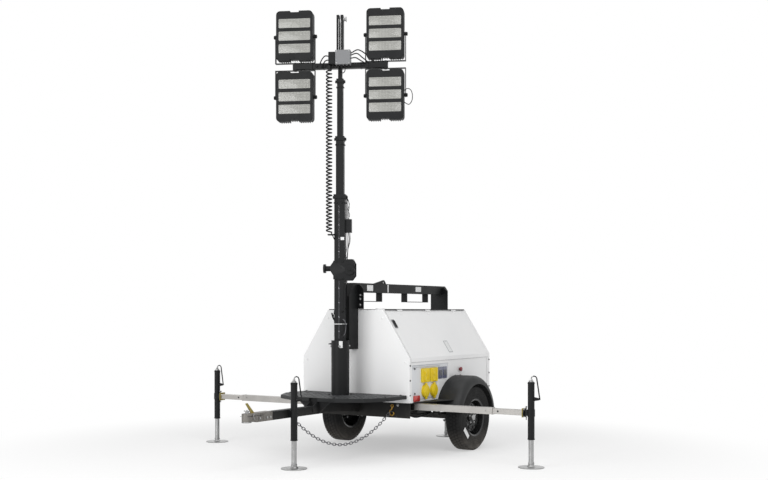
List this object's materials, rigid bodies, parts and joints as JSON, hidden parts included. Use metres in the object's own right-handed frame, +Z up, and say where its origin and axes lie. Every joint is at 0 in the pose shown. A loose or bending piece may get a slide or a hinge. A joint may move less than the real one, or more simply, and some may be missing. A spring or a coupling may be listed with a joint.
{
  "type": "mobile light tower",
  "caption": "Towed light tower: a generator cabinet on two wheels with a telescoping mast of flood lamps, sliding outriggers and screw jacks.",
  "frame": {"origin": "on the ground below the centre of the parked machine's box", "axes": "+Z up, -Y towards the tow coupler, +X towards the outlet panel's side"},
  "size_m": [3.6399, 3.4, 4.016],
  "materials": {
    "black_steel": "satin powder coat",
    "white_steel": "satin powder coat",
    "zinc_steel": "bright zinc plate",
    "tyre": "matte",
    "rim": "satin",
    "fender_plastic": "moulded grain",
    "lamp_body": "powder-coated casting",
    "outlet": "moulded",
    "engine": "painted",
    "cable": "matte",
    "red_lens": "moulded lens",
    "grey_box": "moulded"
  },
  "bodies": {
    "root": {"frame": "black_steel", "tongue": "black_steel", "coupler": "zinc_steel", "platform": "black_steel", "mast_post": "black_steel", "lift_frame": "black_steel", "cabinet_front": "white_steel", "cabinet_rear": "white_steel", "cabinet_side_left": "white_steel", "cabinet_side_right": "white_steel", "roof": "white_steel", "outlet_panel": "outlet", "engine_block": "engine", "axle": "black_steel", "road_lamps": "red_lens", "safety_chain": "zinc_steel", "fender_left": "fender_plastic", "fender_right": "fender_plastic", "jack_body_tongue": "black_steel", "jack_body_rear": "black_steel"},
    "mast_1": {"mast_stage_1": "black_steel", "winch": "black_steel", "switch_box": "black_steel", "coiled_cable": "cable"},
    "mast_2": {"mast_stage_2": "black_steel"},
    "mast_3": {"mast_stage_3": "black_steel"},
    "mast_4": {"mast_stage_4": "black_steel", "mast_head": "black_steel", "junction_box": "grey_box"},
    "leg_tongue": {"jack_leg_tongue": "zinc_steel"},
    "leg_rear": {"jack_leg_rear": "zinc_steel"},
    "bracket_upper_left": {"yoke_upper_left": "black_steel"},
    "flood_upper_left": {"lamp_upper_left": "lamp_body"},
    "bracket_upper_right": {"yoke_upper_right": "black_steel"},
    "flood_upper_right": {"lamp_upper_right": "lamp_body"},
    "bracket_lower_left": {"yoke_lower_left": "black_steel"},
    "flood_lower_left": {"lamp_lower_left": "lamp_body"},
    "bracket_lower_right": {"yoke_lower_right": "black_steel"},
    "flood_lower_right": {"lamp_lower_right": "lamp_body"},
    "wheel_left": {"tyre_left": "tyre", "rim_left": "rim"},
    "door_left": {"door_left": "white_steel"},
    "outrigger_left": {"arm_outer_left": "zinc_steel"},
    "extension_left": {"arm_inner_left": "zinc_steel"},
    "jack_left": {"jack_body_left": "black_steel"},
    "leg_left": {"jack_leg_left": "zinc_steel"},
    "wheel_right": {"tyre_right": "tyre", "rim_right": "rim"},
    "door_right": {"door_right": "white_steel"},
    "outrigger_right": {"arm_outer_right": "zinc_steel"},
    "extension_right": {"arm_inner_right": "zinc_steel"},
    "jack_right": {"jack_body_right": "black_steel"},
    "leg_right": {"jack_leg_right": "zinc_steel"}
  },
  "joints": [
    {"name": "mast_turn", "type": "hinge", "parent": "root", "child": "mast_1", "pos_m": [0, -0.36, 0.8], "axis": [0, 0, 1], "range_deg": [-180, 180]},
    {"name": "mast_raise_1", "type": "slide", "parent": "mast_1", "child": "mast_2", "axis": [0, 0, 1], "range_m": [-0.46, 0.85], "deforming": ["coiled_cable"]},
    {"name": "mast_raise_2", "type": "slide", "parent": "mast_2", "child": "mast_3", "axis": [0, 0, 1], "range_m": [-0.46, 0.85]},
    {"name": "mast_raise_3", "type": "slide", "parent": "mast_3", "child": "mast_4", "axis": [0, 0, 1], "range_m": [-0.03, 1.2]},
    {"name": "pan_upper_left", "type": "hinge", "parent": "mast_4", "child": "bracket_upper_left", "pos_m": [-0.36851, -0.53973, 3.518], "axis": [0, 0, 1], "range_deg": [-90, 90]},
    {"name": "tilt_upper_left", "type": "hinge", "parent": "bracket_upper_left", "child": "flood_upper_left", "pos_m": [-0.36851, -0.53973, 3.791], "axis": [0.8988, 0.4384, 0], "range_deg": [-45, 80]},
    {"name": "pan_upper_right", "type": "hinge", "parent": "mast_4", "child": "bracket_upper_right", "pos_m": [0.36851, -0.18027, 3.518], "axis": [0, 0, 1], "range_deg": [-90, 90]},
    {"name": "tilt_upper_right", "type": "hinge", "parent": "bracket_upper_right", "child": "flood_upper_right", "pos_m": [0.36851, -0.18027, 3.791], "axis": [0.8988, 0.4384, 0], "range_deg": [-45, 80]},
    {"name": "pan_lower_left", "type": "hinge", "parent": "mast_4", "child": "bracket_lower_left", "pos_m": [-0.36851, -0.53973, 3.518], "axis": [0, 0, 1], "range_deg": [-90, 90]},
    {"name": "tilt_lower_left", "type": "hinge", "parent": "bracket_lower_left", "child": "flood_lower_left", "pos_m": [-0.36851, -0.53973, 3.245], "axis": [0.8988, 0.4384, 0], "range_deg": [-45, 80]},
    {"name": "pan_lower_right", "type": "hinge", "parent": "mast_4", "child": "bracket_lower_right", "pos_m": [0.36851, -0.18027, 3.518], "axis": [0, 0, 1], "range_deg": [-90, 90]},
    {"name": "tilt_lower_right", "type": "hinge", "parent": "bracket_lower_right", "child": "flood_lower_right", "pos_m": [0.36851, -0.18027, 3.245], "axis": [0.8988, 0.4384, 0], "range_deg": [-45, 80]},
    {"name": "wheel_left", "type": "hinge", "parent": "root", "child": "wheel_left", "pos_m": [-0.7095, 0.74, 0.31], "axis": [1, 0, 0], "continuous": true},
    {"name": "door_left", "type": "hinge", "parent": "root", "child": "door_left", "pos_m": [-0.316, 0.651, 1.322], "axis": [0, 1, 0], "range_deg": [0, 75]},
    {"name": "outrigger_left", "type": "slide", "parent": "root", "child": "outrigger_left", "axis": [-1, 0, 0], "range_m": [-0.58, 0]},
    {"name": "extension_left", "type": "slide", "parent": "outrigger_left", "child": "extension_left", "axis": [-1, 0, 0], "range_m": [-0.22, 0]},
    {"name": "jack_swing_left", "type": "hinge", "parent": "extension_left", "child": "jack_left", "pos_m": [-1.65, -0.079, 0.46], "axis": [1, 0, 0], "range_deg": [-90, 0]},
    {"name": "jack_screw_left", "type": "slide", "parent": "jack_left", "child": "leg_left", "axis": [0, 0, 1], "range_m": [-0.12, 0.18]},
    {"name": "wheel_right", "type": "hinge", "parent": "root", "child": "wheel_right", "pos_m": [0.7095, 0.74, 0.31], "axis": [1, 0, 0], "continuous": true},
    {"name": "door_right", "type": "hinge", "parent": "root", "child": "door_right", "pos_m": [0.316, 0.651, 1.322], "axis": [0, -1, 0], "range_deg": [0, 75]},
    {"name": "outrigger_right", "type": "slide", "parent": "root", "child": "outrigger_right", "axis": [1, 0, 0], "range_m": [-0.58, 0]},
    {"name": "extension_right", "type": "slide", "parent": "outrigger_right", "child": "extension_right", "axis": [1, 0, 0], "range_m": [-0.22, 0]},
    {"name": "jack_swing_right", "type": "hinge", "parent": "extension_right", "child": "jack_right", "pos_m": [1.65, -0.009, 0.46], "axis": [1, 0, 0], "range_deg": [-90, 0]},
    {"name": "jack_screw_right", "type": "slide", "parent": "jack_right", "child": "leg_right", "axis": [0, 0, 1], "range_m": [-0.12, 0.18]},
    {"name": "jack_screw_tongue", "type": "slide", "parent": "root", "child": "leg_tongue", "axis": [0, 0, 1], "range_m": [-0.12, 0.18]},
    {"name": "jack_screw_rear", "type": "slide", "parent": "root", "child": "leg_rear", "axis": [0, 0, 1], "range_m": [-0.12, 0.18]}
  ],
  "couplings": [
    {"joint": "mast_raise_2", "follows": "mast_raise_1", "ratio": 1}
  ]
}
